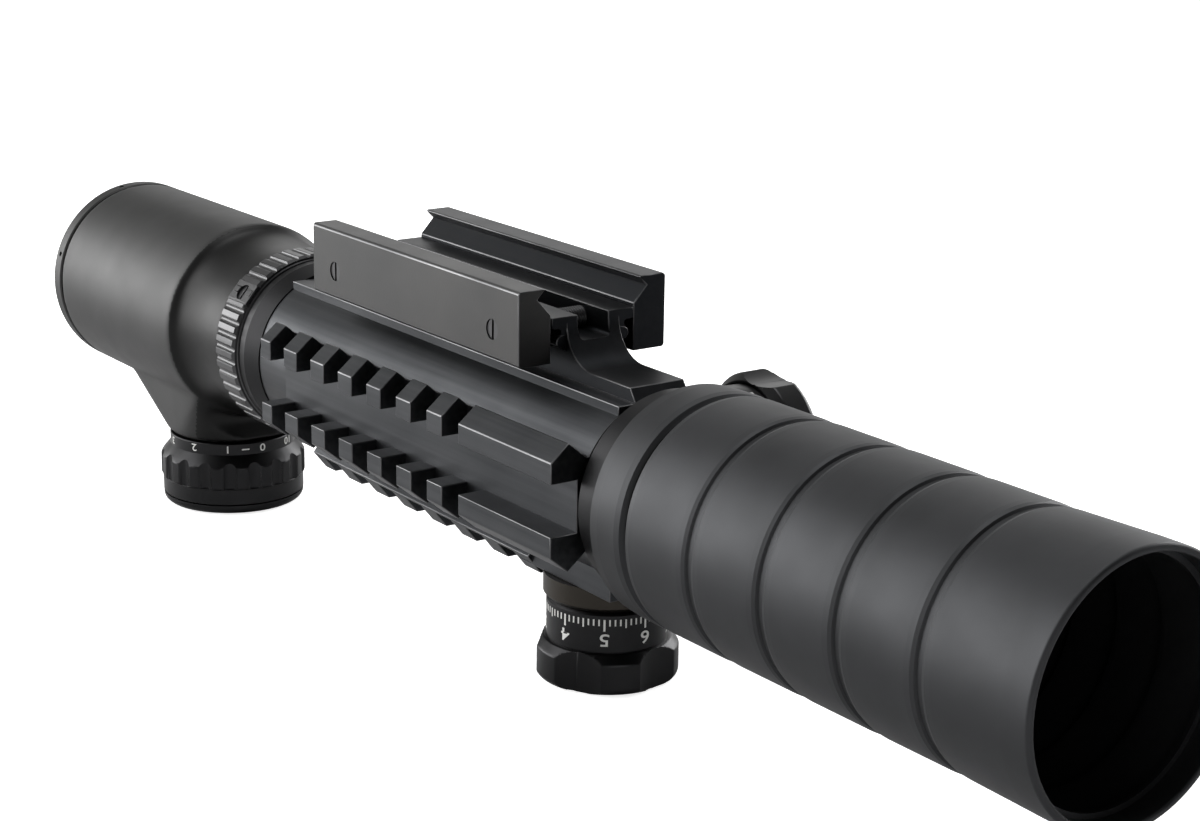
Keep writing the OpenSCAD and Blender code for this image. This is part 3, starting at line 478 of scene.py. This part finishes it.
def cross_thread(node):
    seat_low, seat_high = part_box("clamp_base")
    half = (seat_high.y - seat_low.y) / 2 - THREAD_INSET
    centre = middle(node)
    centre.y = 0
    shaft = max(v.co.x - centre.x for v in nodes[node].data.vertices if v.co.y < 0)
    steps = round(2 * half / THREAD_PITCH * PER_PITCH)
    shape = bmesh.new()
    rows = []
    for i in range(steps + 1):
        along = -half + 2 * half * i / steps
        row = []
        for k in range(AROUND):
            angle = math.tau * k / AROUND
            phase = (along / THREAD_PITCH + k / AROUND) % 1.0
            radius = shaft + THREAD_DEPTH * (1 - abs(2 * phase - 1))
            spoke = Vector((radius * math.cos(angle), along, radius * math.sin(angle)))
            row.append(shape.verts.new(centre + spoke))
        rows.append(row)
    for one, two in zip(rows, rows[1:]):
        for k in range(AROUND):
            shape.faces.new((one[k], one[(k + 1) % AROUND], two[(k + 1) % AROUND], two[k]))
    shape.faces.new(rows[0])
    shape.faces.new(list(reversed(rows[-1])))
    bmesh.ops.recalc_face_normals(shape, faces=shape.faces)
    piece = added(node + "_thread", mesh_of(shape, node + "_thread"))
    piece.data.materials.append(STEEL_DARK)
    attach(piece, body_of(node))
    return shaft


for node in ("cross_screw_front", "cross_screw_rear"):
    print(node, "shaft radius", round(cross_thread(node) / MM, 2), "mm")

# %% [markdown]
# ## Eyepiece housing
# The housing and its battery boss are one casting, so they flow into each other with no corner. Remeshing
# a copy into small even cells and relaxing them melts the joint between the two shapes, as a sanded casting
# has it. Faces ahead of the shoulder and faces that look forward get a darker copy of the finish: painted
# shade.

# %% Eyepiece housing
HOUSING_NODE = "eyepiece_housing"
CELL = 0.5 * MM
RELAX_PASSES = 14
NEARLY_WIDEST = 0.98
FACING_FORWARD = 0.42


def cast_copy(node):
    piece = added(node + "_cast", nodes[node].data.copy())
    remesh = piece.modifiers.new("even_cells", "REMESH")
    remesh.mode = "VOXEL"
    remesh.voxel_size = CELL
    relax = piece.modifiers.new("relax", "SMOOTH")
    relax.factor = 0.5
    relax.iterations = RELAX_PASSES
    settled = piece.evaluated_get(bpy.context.evaluated_depsgraph_get())
    made = bpy.data.meshes.new_from_object(settled, preserve_all_data_layers=False)
    piece.modifiers.clear()
    piece.data = made
    return piece


def shoulder_of(node):
    upper = [v.co for v in nodes[node].data.vertices if v.co.z > 0]
    widest = max(math.hypot(p.y, p.z) for p in upper)
    return max(p.x for p in upper if math.hypot(p.y, p.z) > NEARLY_WIDEST * widest)


housing = cast_copy(HOUSING_NODE)
housing.data.materials.clear()
housing.data.materials.append(HOUSING)
housing.data.materials.append(COVE_PAINTED_SHADE)
shoulder = shoulder_of(HOUSING_NODE)
for face in housing.data.polygons:
    face.use_smooth = True
    # Faces ahead of the shoulder or facing forward take the darker copy: painted shade.
    face.material_index = int(face.center.x > shoulder or face.normal.x > FACING_FORWARD)
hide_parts(HOUSING_NODE)
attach(housing, body_of(HOUSING_NODE))
print("housing", len(housing.data.polygons), "faces")

# %% [markdown]
# ## Knobs
# The grips have a few wide scallops or many flutes; both are cut after turning, so their edges are soft.

# %% Knobs
for node in ("elevation_grip", "windage_grip", "lamp_knob", "zoom_ring"):
    made = machined(node, width=KNOB_BREAK, edge=KNOB)
    print(node, len(made.data.polygons), "faces")

# %% [markdown]
# ## Dial markings
# Marks on a dial are engraved, and the engraving is filled with white paint. Each one here is a thin
# wrapped plate standing a hair above the metal, built in the dial's own round coordinates: an angle, a
# height towards the grip and a radius. Turning with the dial is then only a matter of riding on it.

# %% Round coordinates and plates
PAINT_LIFT = 0.03 * MM
PLATE_STEPS = 2
DIGIT_SHARE = 0.72
DIGIT_STROKE = 0.012
DIGIT_WIDEN = 1.25


def round_frame(centre, out):
    first = Vector((1, 0, 0)) if abs(out.z) > 0.5 else Vector((0, 0, 1))
    second = out.cross(first)

    def at(angle, along, radius):
        spoke = first * math.cos(angle) + second * math.sin(angle)
        return centre + spoke * radius + out * along
    return at


def plate(shape, at, angle, along, wide, tall, radius):
    section = ((along, -PAINT_LIFT), (along, PAINT_LIFT),
               (along + tall, PAINT_LIFT), (along + tall, -PAINT_LIFT))
    rows = []
    for i in range(PLATE_STEPS + 1):
        a = angle + (i / PLATE_STEPS - 0.5) * wide / radius
        rows.append([shape.verts.new(at(a, height, radius + up)) for height, up in section])
    for one, two in zip(rows, rows[1:]):
        for k in range(4):
            shape.faces.new((one[k], two[k], two[(k + 1) % 4], one[(k + 1) % 4]))
    shape.faces.new(rows[0])
    shape.faces.new(list(reversed(rows[-1])))


def glyph(shape, at, text, angle, along, tall, radius):
    curve = bpy.data.curves.new("glyph", "FONT")
    curve.body = text
    curve.size = tall / DIGIT_SHARE
    curve.align_x = "CENTER"
    curve.extrude = PAINT_LIFT
    curve.offset = DIGIT_STROKE * tall
    curve.resolution_u = 4
    holder = added("glyph", curve)
    flat = bpy.data.meshes.new_from_object(holder.evaluated_get(bpy.context.evaluated_depsgraph_get()))
    first = len(shape.verts)
    shape.from_mesh(flat)
    shape.verts.ensure_lookup_table()
    for vert in shape.verts[first:]:
        x, y, z = vert.co
        vert.co = at(angle + DIGIT_WIDEN * x / radius, along + y, radius + z)
    bpy.data.objects.remove(holder)
    bpy.data.curves.remove(curve)
    bpy.data.meshes.remove(flat)


def marks_object(name, shape, node):
    bmesh.ops.recalc_face_normals(shape, faces=shape.faces)
    piece = added(name, mesh_of(shape, name))
    piece.data.materials.append(PAINT)
    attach(piece, body_of(node))
    return piece


print("helpers for markings ready")

# %% [markdown]
# The turret dials carry nine numbers with eight divisions to each, so seventy-two in all. The line at a
# number is the longest, and the one halfway to the next is of middle length, as on a ruler.

# %% Turret dials
NUMBERS = 9
PER_NUMBER = 8
TICK_FROM_EDGE = 1.1 * MM
LONG, MEDIUM, SHORT = 2.0 * MM, 1.5 * MM, 1.1 * MM
BOLD, FINE = 0.34 * MM, 0.26 * MM
DIGIT_GAP = 0.55 * MM
DIGIT_TALL = 2.2 * MM


def dial_marks(node, out, five_at):
    low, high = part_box(node)
    depth = abs((high - low).dot(out))
    radius = (high - low).x / 2
    at = round_frame(middle(node) - out * depth / 2, out)
    shape = bmesh.new()
    for k in range(NUMBERS * PER_NUMBER):
        angle = five_at - (k / PER_NUMBER) * math.tau / NUMBERS
        tall, wide = SHORT, FINE
        if k % PER_NUMBER == 0:
            tall, wide = LONG, BOLD
        elif k % PER_NUMBER == PER_NUMBER // 2:
            tall = MEDIUM
        plate(shape, at, angle, TICK_FROM_EDGE, wide, tall, radius)
    for number in range(NUMBERS):
        angle = five_at - (number - 5) * math.tau / NUMBERS
        glyph(shape, at, str(number), angle, TICK_FROM_EDGE + LONG + DIGIT_GAP, DIGIT_TALL, radius)
    return marks_object(node + "_marks", shape, node)


elevation_marks = dial_marks("elevation_dial", Vector((0, 0, -1)), math.radians(38))
windage_marks = dial_marks("windage_dial", Vector((0, 1, 0)), math.radians(20))
for marks in (elevation_marks, windage_marks):
    print(marks.name, len(marks.data.polygons), "faces")

# %% [markdown]
# The lamp knob carries eleven brightness numbers with a dash between nought and one.

# %% Lamp knob marks
LAMP_STEPS = 11
LAMP_ONE_AT = math.radians(31.7)
LAMP_BAND = 1.2 * MM
LAMP_DIGIT_FROM_EDGE, LAMP_DIGIT_TALL = 0.45 * MM, 1.55 * MM
DASH_FROM_EDGE, DASH_WIDE, DASH_TALL = 1.1 * MM, 1.6 * MM, 0.28 * MM


def lamp_marks(node="lamp_knob"):
    low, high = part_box(node)
    radius = max(Vector((v.co.x - LAMP.x, v.co.y)).length for v in nodes[node].data.vertices
                 if v.co.z > high.z - LAMP_BAND)
    at = round_frame(Vector((LAMP.x, LAMP.y, high.z)), Vector((0, 0, -1)))
    shape = bmesh.new()
    step = math.tau / LAMP_STEPS
    for number in range(LAMP_STEPS):
        angle = LAMP_ONE_AT + (number - 1) * step
        glyph(shape, at, str(number), angle, LAMP_DIGIT_FROM_EDGE, LAMP_DIGIT_TALL, radius)
    plate(shape, at, LAMP_ONE_AT - 0.5 * step, DASH_FROM_EDGE, DASH_WIDE, DASH_TALL, radius)
    marks_object("lamp_marks", shape, node)
    return radius


print("lamp band radius", round(lamp_marks() / MM, 2), "mm")
